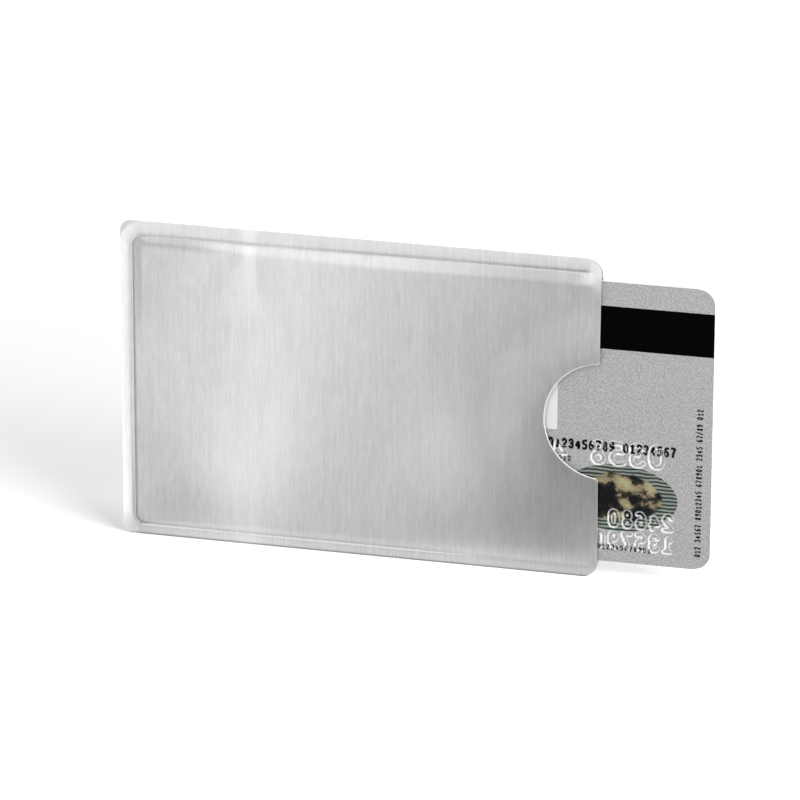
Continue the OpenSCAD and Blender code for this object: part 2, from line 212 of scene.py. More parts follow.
# Relief of the front panel, with places counted from the card's inner end, top and foot
FREE_FROM_WELD = 3
RIDGE = 0.03
RIDGE_X, RIDGE_W = -0.8, 2.4
CORNER_RIDGE = 0.08
TOP_CORNER_Z, FOOT_CORNER_Z, CORNER_RIDGE_W = -2, 3, 4.5
FURROW = 0.012
FURROW_X, FURROW_W = 1.8, 1.1
TENT = 0.16
TENT_X, TENT_W, TENT_SPREAD, TENT_SPREAD_TO = -1.5, 2.6, 0.25, 16
TENT_Z, TENT_ABOVE, TENT_BELOW = -5, 2.4, 14
WAVE = 0.05
WAVE_X, WAVE_Z, WAVE_SHIFT, WAVE_FROM = 9, 30, 0.8, 15
CROSS_WAVE = 0.03
CROSS_X, CROSS_Z = 21, 8.5
NOTCH_LIFT = 0.3
NOTCH_LIFT_W = 12


def notch_distance(x, z):
    """Distance of a point from the notch's edge."""
    return np.hypot(x - SLEEVE_L - NOTCH_OVERHANG, z - SLEEVE_H / 2) - NOTCH_R


def drape_relief(x, z):
    """What the front panel shows of the card beneath it: the ridge over its end and soft waves."""
    top_corner = bump(z, CARD_TOP + TOP_CORNER_Z, CORNER_RIDGE_W)
    foot_corner = bump(z, CARD_FOOT + FOOT_CORNER_Z, CORNER_RIDGE_W)
    ridge = RIDGE + CORNER_RIDGE * (top_corner + foot_corner)
    ridge = ridge * bump(x, CARD_END + RIDGE_X, RIDGE_W)
    furrow = FURROW * bump(x, CARD_END + FURROW_X, FURROW_W)
    past_tent = z - CARD_TOP - TENT_Z
    tent = bump(np.maximum(past_tent, 0), 0, TENT_ABOVE) * bump(np.minimum(past_tent, 0), 0, TENT_BELOW)
    spread = TENT_SPREAD * np.clip(CARD_TOP - z, 0, TENT_SPREAD_TO)
    tent = TENT * tent * bump(x, CARD_END + TENT_X, TENT_W + spread)
    waves = WAVE * np.sin(x / WAVE_X + z / WAVE_Z + WAVE_SHIFT)
    waves = waves * rise(x, CARD_END, CARD_END + WAVE_FROM)
    cross = CROSS_WAVE * np.sin(z / CROSS_Z + x / CROSS_X)
    lifted = NOTCH_LIFT * (1 - rise(notch_distance(x, z), 0, NOTCH_LIFT_W))
    free = rise(weld_distance(x, z), 0, FREE_FROM_WELD)
    return free * (ridge - furrow + tent + waves + cross + lifted)


def corner_cut(from_edge, radius):
    """How far a round corner draws in the end of a row, at a distance from the edge."""
    drop = np.clip(radius - from_edge, 0, radius)
    return radius - np.sqrt(np.maximum(radius ** 2 - drop ** 2, 0))


def outline(z, inset, rim):
    """Where a layer's outline starts and ends along the sleeve, for a row at height z."""
    from_edge = np.minimum(z, SLEEVE_H - z) - inset
    low = inset + corner_cut(from_edge, CLOSED_CORNER_R - inset)
    high = SLEEVE_L - inset - corner_cut(from_edge, MOUTH_CORNER_R - inset)
    reach = (NOTCH_R + rim) ** 2 - (z - SLEEVE_H / 2) ** 2
    notch = SLEEVE_L + NOTCH_OVERHANG - np.sqrt(np.maximum(reach, 0))
    return low, np.where(reach > 0, np.minimum(high, notch), high)


def spaced(stops):
    """Points from the first stop to the last. Each stop gives a place and the spacing after it."""
    points = []
    for (start, step), (end, _) in zip(stops, stops[1:]):
        count = max(1, round((end - start) / step))
        points += [start + (end - start) * i / count for i in range(count)]
    return np.array(points + [stops[-1][0]])


# Rows and columns of a panel layer: spacing, and how far round the edges, the weld's inner
# line, the card's end and the cut they stand close
FINE_STEP = 0.2
CREASE_STEP = 0.3
WIDE_STEP = 0.7
FINE_W = 7
BEFORE_LINE, AFTER_LINE = 0.4, 0.8
CREASE_HALF_W = 5
CUT_W = 0.6
SAME_ROW = 0.015
# Angles of the rows at the corners and at the notch, in degrees
CORNER_ANGLES = range(6, 60, 6)
NOTCH_ANGLE = 84
NOTCH_ANGLE_STEP = 2
# Between these places along the sleeve the columns stand upright
FOLLOW_TO = 4.5
FOLLOW_FROM = 62


def panel_rows(inset, rim, coarse):
    """Heights of the rows of a panel layer: close together at the welds, corners and notch."""
    low, high = inset, SLEEVE_H - inset
    fine, wide = FINE_STEP * coarse, WIDE_STEP * coarse
    edge = spaced([(low, fine), (FINE_W, wide), (SLEEVE_H - FINE_W, fine), (high, 1)])
    corner_r = MOUTH_CORNER_R - inset
    arc = np.array([corner_r * (1 - cos(radians(a))) for a in CORNER_ANGLES])
    radius = NOTCH_R + rim
    angles = np.arange(-NOTCH_ANGLE, NOTCH_ANGLE + 1, NOTCH_ANGLE_STEP * coarse)
    sweep = np.array([radius * sin(radians(a)) for a in angles])
    tips = np.sqrt(radius ** 2 - NOTCH_OVERHANG ** 2) * np.array([-1, 1])
    rows = np.concatenate([edge, low + arc, high - arc, SLEEVE_H / 2 + sweep, SLEEVE_H / 2 + tips])
    rows = np.sort(rows)
    return rows[np.concatenate([[True], np.diff(rows) > SAME_ROW])]


def panel_columns(inset, coarse):
    """Places of the columns of a panel layer, before they follow the outline."""
    fine, close, wide = FINE_STEP * coarse, CREASE_STEP * coarse, WIDE_STEP * coarse
    weld = [(CLOSED_WELD_W - BEFORE_LINE, fine / 2), (CLOSED_WELD_W + AFTER_LINE, fine)]
    crease = [(CARD_END - CREASE_HALF_W, close), (CARD_END + CREASE_HALF_W, wide)]
    mouth = [(SLEEVE_L - FINE_W, close), (SLEEVE_L - CUT_W, fine / 2), (SLEEVE_L - inset, 1)]
    return spaced([(inset, fine)] + weld + [(FINE_W, wide)] + crease + mouth)


def follow(columns, low, high):
    """Columns of one row, pulled in at its two ends to follow the outline."""
    first, last = columns[0], columns[-1]
    left = low + (columns - first) * (FOLLOW_TO - low) / (FOLLOW_TO - first)
    right = FOLLOW_FROM + (columns - FOLLOW_FROM) * (high - FOLLOW_FROM) / (last - FOLLOW_FROM)
    return np.where(columns < FOLLOW_TO, left, np.where(columns > FOLLOW_FROM, right, columns))


def grid_faces(rows, columns):
    """Four-sided faces of a grid of points, row by row."""
    index = np.arange(rows * columns).reshape(rows, columns)
    return np.stack([index[:-1, :-1], index[:-1, 1:], index[1:, 1:], index[1:, :-1]], -1).reshape(-1, 4)


def grid_ring(rows, columns):
    """The points round the border of a grid, in order."""
    index = np.arange(rows * columns).reshape(rows, columns)
    return np.concatenate([index[0, :-1], index[:-1, -1], index[-1, :0:-1], index[:0:-1, 0]])


def sheet(name, x, z, outer, inner, side):
    """A thin closed solid between two height fields. side -1 has its outer face towards -y."""
    return sheets(name, [(x, z, outer, inner)], side)


def sheets(name, grids, side):
    """One piece of several thin closed solids, each on its own grid of points."""
    points, faces, rims = [], [], []
    start = 0
    for x, z, outer, inner in grids:
        count = x.size
        for face_y in (outer, inner):
            points.append(np.stack([x.ravel(), face_y.ravel(), z.ravel()], -1))
        face, ring = grid_faces(*x.shape), grid_ring(*x.shape)
        after = np.roll(ring, -1)
        wall = np.stack([ring, ring + count, after + count, after], -1)
        faces.append(np.concatenate([face, face[:, ::-1] + count, wall]) + start)
        rim = np.zeros(2 * count, int)
        rim[ring] = 1
        rim[ring + count] = 2
        rims.append(rim)
        start += 2 * count
    faces = np.concatenate(faces)
    if side > 0:
        faces = faces[:, ::-1]
    mesh = bpy.data.meshes.new(name)
    mesh.from_pydata(np.concatenate(points) * MM, [], faces)
    mesh.shade_smooth()
    mark_rims(mesh, np.concatenate(rims))
    unroll(mesh)
    piece = bpy.data.objects.new(name, mesh)
    bpy.context.collection.objects.link(piece)
    return piece


def mark_rims(mesh, rim):
    """Sharp edges along both rims of each sheet."""
    ends = np.empty(len(mesh.edges) * 2, np.int32)
    mesh.edges.foreach_get("vertices", ends)
    first, second = rim[ends[0::2]], rim[ends[1::2]]
    mesh.edges.foreach_set("use_edge_sharp", (first == second) & (first > 0))


def unroll(mesh):
    """A flat map in x and z, whose first direction the brushed metal spreads its shine along."""
    layer = mesh.uv_layers.new(name="flat")
    corner = np.empty(len(mesh.loops), np.int32)
    mesh.loops.foreach_get("vertex_index", corner)
    place = np.empty(len(mesh.vertices) * 3, np.float32)
    mesh.vertices.foreach_get("co", place)
    flat = place.reshape(-1, 3)[corner][:, [0, 2]] * 10
    layer.data.foreach_set("uv", flat.ravel())


# Painted shade along the weld's inner line on the outer film: place and width as shares of the weld's
# width, its reach into the pocket, and its changes at the closed end and the mouth
SHADE_LINE_AT, SHADE_LINE_W, SHADE_LINE_FADE = 0.02, 0.13, 2.5
SHADE_LINE_END_SPAN = (3, 6)
SHADE_LINE_END_SHIFT = 0.13
SHADE_LINE_END_GAIN = 1.6
SHADE_LINE_MOUTH_SPAN = (40, 80)
# Painted shade in a band beside the top weld: levels, and spans along the sleeve and from the weld
SHADE_BAND, SHADE_BAND_AT_END = 1.5, 0.85
SHADE_BAND_MOUTH_SPAN, SHADE_BAND_END_SPAN = (40, 84), (12, 22)
SHADE_BAND_FROM, SHADE_BAND_TO = (-0.15, 0.2), (1.4, 2.8)
SHADE_BAND_FULL = 8
SHADE_BAND_STOP, SHADE_BAND_STOP_L = 0.5, 3.5
# Painted shade in the upper corner by the closed end, and where all painted shade stops at the mouth
CORNER_SHADE = 0.45
CORNER_SHADE_X, CORNER_SHADE_Z = (5, 17), (34, 50)
PAINTED_SHADE_STOP, PAINTED_SHADE_STOP_L = 0.4, 0.5
# The painted highlight: a bright leaning band over the card's upper inner corner
PAINTED_HIGHLIGHT = 0.85
BRIGHT_TOP, BRIGHT_H = 5, 20
BRIGHT_X, BRIGHT_LEAN = -1.4, 0.2
BRIGHT_W, BRIGHT_SPREAD = 1.5, 0.25
BRIGHT_FROM, BRIGHT_FULL = 22, 8
BRIGHT_OFF_LINE = 0.3
# The bare rim of the film along its cut edges
CUT_RIM = (0.04, 0.1)


def painted_light_level(x, z):
    """Painted shade on the film, 1 along the weld's inner line; a painted highlight counts below 0."""
    inside = weld_distance(x, z)
    at_end = 1 - rise(x, *SHADE_LINE_END_SPAN)
    across = weld_share(x, z) - np.maximum(inside, 0) / SHADE_LINE_FADE
    # Painted shade along the weld's inner line
    line = bump(across, SHADE_LINE_AT - SHADE_LINE_END_SHIFT * at_end, SHADE_LINE_W)
    line = line * (1 + SHADE_LINE_END_GAIN * at_end - rise(x, *SHADE_LINE_MOUTH_SPAN))
    # Painted shade in a band beside the top weld, stronger towards both ends
    shade_band = rise(x, *SHADE_BAND_MOUTH_SPAN) + SHADE_BAND_AT_END * (1 - rise(x, *SHADE_BAND_END_SPAN))
    shade_band = shade_band * rise(inside, *SHADE_BAND_FROM) * (1 - rise(inside, *SHADE_BAND_TO))
    shade_band = SHADE_BAND * shade_band * rise(z, SLEEVE_H / 2, SLEEVE_H - SHADE_BAND_FULL)
    shade_band = shade_band * rise(WELD_END + SHADE_BAND_STOP - x, 0, SHADE_BAND_STOP_L)
    # Painted shade in the upper corner by the closed end
    corner = CORNER_SHADE * (1 - rise(x, *CORNER_SHADE_X)) * rise(z, *CORNER_SHADE_Z)
    painted_light = np.maximum(np.maximum(line, shade_band), corner * (inside > 0))
    # All painted shade fades out at the mouth
    painted_light = painted_light * rise(WELD_END + PAINTED_SHADE_STOP - x, 0, PAINTED_SHADE_STOP_L)
    # The painted highlight counts below 0 and lightens the film
    return painted_light - painted_highlight_level(x, z) * (line < BRIGHT_OFF_LINE)


def painted_highlight_level(x, z):
    """Painted highlight on the film over the card's upper inner corner."""
    down = np.clip(SLEEVE_H - BRIGHT_TOP - z, 0, BRIGHT_H)
    band = bump(x, CARD_END + BRIGHT_X - BRIGHT_LEAN * down, BRIGHT_W + BRIGHT_SPREAD * down)
    return PAINTED_HIGHLIGHT * band * rise(z, SLEEVE_H - BRIGHT_FROM, SLEEVE_H - BRIGHT_FULL)


def cut_level(x, z):
    """1 along the film's cut edges at the mouth and the notch, and round its border."""
    from_cut = np.minimum(SLEEVE_L - x, notch_distance(x, z) - NOTCH_RIM)
    cut = 1 - rise(from_cut, *CUT_RIM)
    cut.ravel()[grid_ring(*cut.shape)] = 1
    return cut


def store(mesh, name, level):
    """Keeps a value with the points of both faces of a sheet."""
    layer = mesh.attributes.new(name, "FLOAT", "POINT")
    layer.data.foreach_set("value", np.concatenate([level.ravel(), level.ravel()]))


def panel_piece(name, node, near, far, side, inset, rim, coarse):
    """One layer of a panel, which stands for its CAD node."""
    z = panel_rows(inset, rim, coarse)
    low, high = outline(z, inset, rim)
    columns = panel_columns(inset, coarse)
    x = np.stack([follow(columns, a, b) for a, b in zip(low, high)])
    z = np.repeat(z[:, None], len(columns), 1)
    draped = side < 0
    gap = half_gap(x, z, draped)
    if draped:
        gap = gap + drape_relief(x, z)
    piece = sheet(name, x + CLOSED_X, z, side * (gap + far), side * (gap + near), side)
    # Painted shade and painted highlight for the film's colour
    store(piece.data, "painted_light", painted_light_level(x, z))
    store(piece.data, "cut", cut_level(x, z))
    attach(piece, "sleeve")
    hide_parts(node)
    return piece


def panel(word, side):
    """The three films of one panel."""
    foil_out = LINER_T + FOIL_T
    face_out = foil_out + FACE_T
    face = panel_piece(word + "_face", word + "_face_film", foil_out, face_out, side, 0, NOTCH_RIM, 1)
    foil = panel_piece(
        word + "_foil", word + "_shield_foil", LINER_T, foil_out, side, FOIL_INSET, FOIL_INSET, 2
    )
    liner = panel_piece(word + "_liner", word + "_liner_film", 0, LINER_T, side, LINER_INSET, 0, 1.5)
    dress(face, brushed_film())
    dress(foil, plain_metal("foil", (0.62, 0.63, 0.65), 0.35))
    dress(liner, milky_film("liner", (0.8, 0.8, 0.8)))


# Digits and the slash as strokes in a cell one wide and one high
GLYPHS = {
    "0": [[(0, 0.25), (0, 0.75), (0.25, 1), (0.75, 1), (1, 0.75), (1, 0.25), (0.75, 0), (0.25, 0),
           (0, 0.25)]],
    "1": [[(0.15, 0.75), (0.55, 1), (0.55, 0)], [(0.15, 0), (0.95, 0)]],
    "2": [[(0, 0.8), (0.25, 1), (0.75, 1), (1, 0.8), (1, 0.6), (0, 0.12), (0, 0), (1, 0)]],
    "3": [[(0, 0.85), (0.25, 1), (0.75, 1), (1, 0.8), (0.85, 0.55), (0.4, 0.52)],
          [(0.85, 0.52), (1, 0.25), (0.75, 0), (0.25, 0), (0, 0.15)]],
    "4": [[(0.75, 0), (0.75, 1), (0, 0.35), (0, 0.28), (1, 0.28)]],
    "5": [[(0.95, 1), (0.05, 1), (0.02, 0.55), (0.7, 0.6), (1, 0.4), (1, 0.2), (0.7, 0), (0, 0.05)]],
    "6": [[(0.9, 0.95), (0.5, 1), (0.1, 0.75), (0, 0.3), (0.25, 0), (0.75, 0), (1, 0.25), (0.75, 0.55),
           (0.05, 0.45)]],
    "7": [[(0, 1), (1, 1), (1, 0.9), (0.4, 0.3), (0.4, 0)]],
    "8": [[(0.5, 0.53), (0.1, 0.7), (0.25, 1), (0.75, 1), (0.9, 0.7), (0.5, 0.53), (0, 0.3), (0.25, 0),
           (0.75, 0), (1, 0.3), (0.5, 0.53)]],
    "9": [[(0.1, 0.05), (0.5, 0), (0.9, 0.25), (1, 0.7), (0.75, 1), (0.25, 1), (0, 0.75), (0.25, 0.45),
           (0.95, 0.55)]],
    "/": [[(0, 0), (1, 1)]],
}

# Rows of raised digits: text, middle of the first from the outer end, pitch, top, height and width
RAISED_ROWS = [
    ("0358 4567 8901 2345", 10.2, 3.64, 30.9, 4, 2.3),
    ("24680 13579", 7.9, 2.54, 44.1, 2.8, 1.35),
    ("135790 24", 7.9, 2.54, 48.3, 2.8, 1.35),
]
STROKE_HALF = 0.26
STROKE_SLOPE = 0.3
STROKE_REACH = 1
DENT = 0.23
UNDER_DENT = 0.2
RELIEF = 0.4
CORNER_ROUNDS = 2
CORNER_SHARE = 0.22


def smooth_stroke(points):
    """A stroke with its corners cut round."""
    points = np.array(points, float)
    for _ in range(CORNER_ROUNDS):
        near = (1 - CORNER_SHARE) * points[:-1] + CORNER_SHARE * points[1:]
        far = CORNER_SHARE * points[:-1] + (1 - CORNER_SHARE) * points[1:]
        middle = np.stack([near, far], 1).reshape(-1, 2)
        points = np.concatenate([points[:1], middle, points[-1:]])
    return points


def stroke_distance(u, v, points):
    """Distance of each point from a stroke, in the units of its cell."""
    best = np.full(u.shape, np.inf)
    for (u0, v0), (u1, v1) in zip(points, points[1:]):
        length = max((u1 - u0) ** 2 + (v1 - v0) ** 2, 1e-9)
        share = np.clip(((u - u0) * (u1 - u0) + (v - v0) * (v1 - v0)) / length, 0, 1)
        best = np.minimum(best, np.hypot(u - u0 - share * (u1 - u0), v - v0 - share * (v1 - v0)))
    return best


def relief(x, z):
    """Raised digits over the card, 0 on the flat and 1 along a stroke. x and z as in the frame."""
    end = CARD_HIGH.x - x
    top = CARD_TOP - z
    result = np.zeros(x.shape)
    for text, first, pitch, row_top, height, width in RAISED_ROWS:
        for place, digit in enumerate(text):
            if digit == " ":
                continue
            u = end - (first + place * pitch - width / 2)
            v = row_top + height - top
            inside = np.abs(u - width / 2) < width / 2 + STROKE_REACH
            inside &= np.abs(v - height / 2) < height / 2 + STROKE_REACH
            for stroke in GLYPHS[digit]:
                points = smooth_stroke(stroke) * (width, height)
                distance = stroke_distance(u[inside], v[inside], points)
                level = 1 - rise(distance, STROKE_HALF, STROKE_HALF + STROKE_SLOPE)
                result[inside] = np.maximum(result[inside], level)
    return result


# Rows and columns of a card sheet. The digits stand in two bands, counted from the card's top.
# Each sheet has the spacing among its digits, the spacing further in, and where that starts,
# counted from the card's outer end.
DIGIT_BANDS = (30, 35.7, 43.2, 51.9)
BACK_STEPS = (0.15, 0.32, 30)
CORE_STEPS = (0.3, 0.6, 30)
FRONT_STEPS = (0.24, 0.24, 84)
CORNER_STEP, PLAIN_STEP, BETWEEN_STEP, FOOT_STEP = 0.25, 2, 1.5, 0.4
# From this share of the card's half length on, its columns follow the round corners
PULL_FROM = 0.8


def card_grid(fine, coarse, fine_to):
    """A grid over the card, close together where the raised digits are."""
    places = (0, CARD_CORNER_R, *DIGIT_BANDS, CARD_H)
    steps = (CORNER_STEP, PLAIN_STEP, fine, BETWEEN_STEP, fine, FOOT_STEP, 1)
    z = CARD_TOP - spaced([*zip(places, steps)])[::-1]
    from_end = spaced([(0, fine), (fine_to, coarse), (CARD_L, 1)])[::-1]
    cut = corner_cut(np.minimum(CARD_TOP - z, z - CARD_FOOT), CARD_CORNER_R)
    share = (CARD_L / 2 - from_end) / (CARD_L / 2)
    middle = CARD_HIGH.x - CARD_L / 2
    pull = np.clip((np.abs(share) - PULL_FROM) / (1 - PULL_FROM), 0, 1) * np.sign(share)
    x = middle + share[None, :] * CARD_L / 2 - pull[None, :] * cut[:, None]
    return x, np.repeat(z[:, None], len(from_end), 1)


def span(low, high):
    """Middle and half length of a span."""
    return (low + high) / 2, (high - low) / 2


# Layers of the card, in millimetres: the overlay, how far the rebuilt faces lie within the CAD's,
# the recess over the contact plate and the hologram
OVERLAY_T = 0.06
FLUSH = 0.003
CORE_FLUSH = 0.006
RECESS = 0.05
RECESS_INSET = 0.3
CONTACT_X, CONTACT_HALF_L = span(CONTACT_LOW.x, CONTACT_HIGH.x)
CONTACT_Z, CONTACT_HALF_H = span(CONTACT_LOW.z, CONTACT_HIGH.z)
HOLOGRAM_X, HOLOGRAM_HALF_L = span(HOLOGRAM_LOW.x, HOLOGRAM_HIGH.x)
HOLOGRAM_Z, HOLOGRAM_HALF_H = span(HOLOGRAM_LOW.z, HOLOGRAM_HIGH.z)
HOLOGRAM_T = 0.012
HOLOGRAM_ROWS, HOLOGRAM_COLUMNS = 120, 150
HOLOGRAM_TIP = pi / 2 - 0.02


def card_pieces():
    """The card's outer sheets, with the digits raised to the front and sunk in the back."""
    silver = card_silver()
    x, z = card_grid(*BACK_STEPS)
    sunk = relief(x, z)
    outer = CARD_BACK_Y + FLUSH + DENT * sunk
    under = CARD_BACK_Y + OVERLAY_T + UNDER_DENT * sunk
    back = sheet("card_back", x, z, outer, under, -1)
    whiten_and_highlight(back.data, sunk)
    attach(back, "card")
    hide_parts("card_back_overlay")
    dress(back, silver)
    x, z = card_grid(*CORE_STEPS)
    outer = CARD_LOW.y + CORE_FLUSH + UNDER_DENT * relief(x, z)
    sheet_back = sheet("card_back_core", x, z, outer, 0 * x + CARD_HIGH.y, -1)
    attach(sheet_back, "card")
    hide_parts("card_back_sheet")
    dress(sheet_back, core_plastic())
    x, z = card_grid(*FRONT_STEPS)
    raised = relief(x, z)
    past_x = np.abs(x - CONTACT_X) - CONTACT_HALF_L
    past_z = np.abs(z - CONTACT_Z) - CONTACT_HALF_H
    recess = RECESS * (np.maximum(past_x, past_z) < -RECESS_INSET)
    outer = CARD_FRONT_Y - FLUSH + RELIEF * raised - recess
    front = sheet("card_front", x, z, outer, 0 * x + FRONT_LOW.y, 1)
    whiten_and_highlight(front.data, raised)
    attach(front, "card")
    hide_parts("card_front_overlay")
    dress(front, silver)
    hologram_piece()
    print_lines()


def whiten_and_highlight(mesh, level):
    """How much the digits' bent edges have whitened, with a painted highlight on them, 1 halfway up
    their slopes.
    """
    store(mesh, "bent", 4 * level * (1 - level))


def over_bent_whitening_and_highlight(nodes, links, colour, light):
    """A colour that turns light along the digits' bent edges: whitened plastic with a painted highlight.
    """
    share = math_node(nodes, links, "MULTIPLY", point_value(nodes, "bent"), BENT_WHITENING_AND_HIGHLIGHT_SHARE)
    return mix(nodes, links, "RGB", share, colour, light)


def hologram_piece():
    """The oval patch, which follows the digits sunk beneath it."""
    angle = np.linspace(-HOLOGRAM_TIP, HOLOGRAM_TIP, HOLOGRAM_ROWS)[:, None]
    share = np.linspace(-1, 1, HOLOGRAM_COLUMNS)[None, :]
    x = HOLOGRAM_X + HOLOGRAM_HALF_L * np.cos(angle) * share
    z = HOLOGRAM_Z + HOLOGRAM_HALF_H * np.sin(angle) + 0 * share
    sunk = relief(x, z)
    level = CARD_BACK_Y + DENT * sunk
    patch = sheet("hologram", x, z, level, level + HOLOGRAM_T, -1)
    whiten_and_highlight(patch.data, sunk)
    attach(patch, "card")
    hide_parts("hologram_patch")
    dress(patch, hologram_foil())


# Printed lines: text, distance of the line's end from the card's outer end, its foot from the
# card's top, height, width and pitch of a digit, width of its strokes, and whether it stands upright
PRINTED_LINES = [
    ("0123456789 01234567", 6.6, 32.7, 2.05, 1.08, 1.27, 0.47, False),
    ("89012", 26.2, 35.1, 1.1, 0.6, 0.86, 0.22, False),
    ("012345678901", 11, 51.7, 1.1, 0.6, 0.86, 0.22, False),
    ("012 34567 89012345 678901 2345 67/89 012", 1.7, 51.5, 1.25, 0.54, 0.72, 0.23, True),
]
INK_T = 0.006
RIBBON_STEP = 0.16
RIBBON_OVER = 0.35


def ribbon(points, width):
    """A grid of points along a stroke of some width, 3 across."""
    steps = np.hypot(*np.diff(points, axis=0).T)
    reach = np.concatenate([[0], np.cumsum(steps)])
    count = max(2, int(reach[-1] / RIBBON_STEP) + 1)
    along = np.linspace(0, reach[-1], count)
    path = np.stack([np.interp(along, reach, points[:, i]) for i in (0, 1)], -1)
    heading = np.gradient(path, axis=0)
    heading /= np.maximum(np.hypot(heading[:, 0], heading[:, 1]), 1e-6)[:, None]
    path[0] -= heading[0] * width * RIBBON_OVER
    path[-1] += heading[-1] * width * RIBBON_OVER
    sideways = np.stack([-heading[:, 1], heading[:, 0]], -1)
    return [path + sideways * width * offset for offset in (0.5, 0, -0.5)]


def line_grids(text, end, foot, height, width, pitch, weight, upright):
    """Grids of all strokes of one printed line, on the card's back."""
    grids = []
    length = pitch * (len(text) - 1) + width
    for place, digit in enumerate(text):
        for stroke in GLYPHS.get(digit, []):
            points = smooth_stroke(stroke) * (width - weight, height - weight) + weight / 2
            rows = ribbon(points, weight)
            u = np.stack([row[:, 0] for row in rows]) + place * pitch
            v = np.stack([row[:, 1] for row in rows])
            if upright:
                x, z = CARD_HIGH.x - end - v, CARD_TOP - foot + u
            else:
                x, z = CARD_HIGH.x - end - length + u, CARD_TOP - foot + v
            level = CARD_BACK_Y + DENT * relief(x, z)
            grids.append((x[::-1], z[::-1], (level - INK_T)[::-1], (level + INK_T)[::-1]))
    return grids


def print_lines():
    """The printed lines of plain digits on the card's back."""
    ink = flat_print("ink", grey(0.008), 0.6, 0.2, 5000, 0.05)
    for number, line in enumerate(PRINTED_LINES):
        piece = sheets("print_%d" % number, line_grids(*line), -1)
        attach(piece, "card")
        dress(piece, ink)


def dress(piece, material):
    """Gives a piece its material."""
    piece.data.materials.clear()
    piece.data.materials.append(material)


def new_material(name, **inputs):
    """A material with its main shader's inputs set, and the means to add nodes to it."""
    material = bpy.data.materials.new(name)
    material.use_nodes = True
    nodes, links = material.node_tree.nodes, material.node_tree.links
    shader = nodes["Principled BSDF"]
    for key, value in inputs.items():
        shader.inputs[key.replace("_", " ")].default_value = value
    return material, nodes, links, shader


def noise(nodes, links, scale, detail=2.0, roughness=0.5, stretch=(1, 1, 1)):
    """A noise texture in the piece's own coordinates, in metres, stretched along the axes."""
    mapping = nodes.new("ShaderNodeMapping")
    mapping.inputs["Scale"].default_value = stretch
    texture = nodes.new("ShaderNodeTexNoise")
    texture.inputs["Scale"].default_value = scale
    texture.inputs["Detail"].default_value = detail
    texture.inputs["Roughness"].default_value = roughness
    links.new(own_place(nodes), mapping.inputs["Vector"])
    links.new(mapping.outputs["Vector"], texture.inputs["Vector"])
    return texture.outputs["Fac"]


def ramp(nodes, links, source, stops):
    """A colour ramp over a value."""
    node = nodes.new("ShaderNodeValToRGB")
    elements = node.color_ramp.elements
    while len(elements) < len(stops):
        elements.new(0.5)
    for element, (place, colour) in zip(elements, stops):
        element.position = place
        element.color = (*colour, 1)
    links.new(source, node.inputs["Fac"])
    return node.outputs["Color"]


def value_range(nodes, links, source, low, high, from_low=0.3, from_high=0.7, change="LINEAR"):
    """A value brought from one range to another."""
    node = nodes.new("ShaderNodeMapRange")
    node.interpolation_type = change
    node.inputs["From Min"].default_value = from_low
    node.inputs["From Max"].default_value = from_high
    node.inputs["To Min"].default_value = low
    node.inputs["To Max"].default_value = high
    links.new(source, node.inputs["Value"])
    return node.outputs["Result"]


def value_step(nodes, links, source, start, end, low, high):
    """A smooth change from low at start to high at end."""
    return value_range(nodes, links, source, low, high, start, end, "SMOOTHSTEP")


def math_node(nodes, links, operation, *values):
    """A maths node over sockets and numbers."""
    node = nodes.new("ShaderNodeMath")
    node.operation = operation
    for socket, value in zip(node.inputs, values):
        feed(links, socket, value)
    return node.outputs[0]


def feed(links, socket, value):
    """Gives a socket a number, a colour or what another socket puts out."""
    if isinstance(value, (int, float)):
        socket.default_value = value
    elif isinstance(value, tuple):
        socket.default_value = (*value, 1)
    else:
        links.new(value, socket)


def point_value(nodes, name):
    """A value stored with the points of a sheet."""
    node = nodes.new("ShaderNodeAttribute")
    node.attribute_name = name
    return node.outputs["Fac"]


def mix(nodes, links, kind, *values):
    """From a share and two colours or shaders: the first where the share is 0, the second at 1."""
    node = nodes.new("ShaderNodeMix" + kind)
    for socket, value in zip(node.inputs, values):
        feed(links, socket, value)
    return node.outputs[0]


def own_axes(nodes, links):
    """A point's places along the three axes, in metres."""
    split = nodes.new("ShaderNodeSeparateXYZ")
    links.new(own_place(nodes), split.inputs["Vector"])
    return split.outputs


def own_place(nodes):
    """A point's place in the piece's own coordinates, in metres."""
    return nodes.new("ShaderNodeTexCoord").outputs["Object"]


def add_bump(nodes, links, shader, height, strength, distance):
    """A fine bump on a shader."""
    node = nodes.new("ShaderNodeBump")
    node.inputs["Strength"].default_value = strength
    node.inputs["Distance"].default_value = distance
    links.new(height, node.inputs["Height"])
    links.new(node.outputs["Normal"], shader.inputs["Normal"])


def grey(level, cool=0.0):
    """A linear grey, a little cooler where asked."""
    return (level * (1 - cool), level * (1 - cool / 2), level * (1 + cool))


# Grain of the brushed film, as a noise's scale along the three axes, per metre
STREAKS = (3300, 300, 380)
BROAD_STREAKS = (1700, 100, 60)
CLOUDS = (150, 150, 100)
BROAD_SHARE = 0.6
CLOUD_SHARE = 0.6
FILM_METAL = 0.92
CUT_METAL = 0.6
# Share of the light colour along the digits' bent edges: whitening with a painted highlight
BENT_WHITENING_AND_HIGHLIGHT_SHARE = 0.85


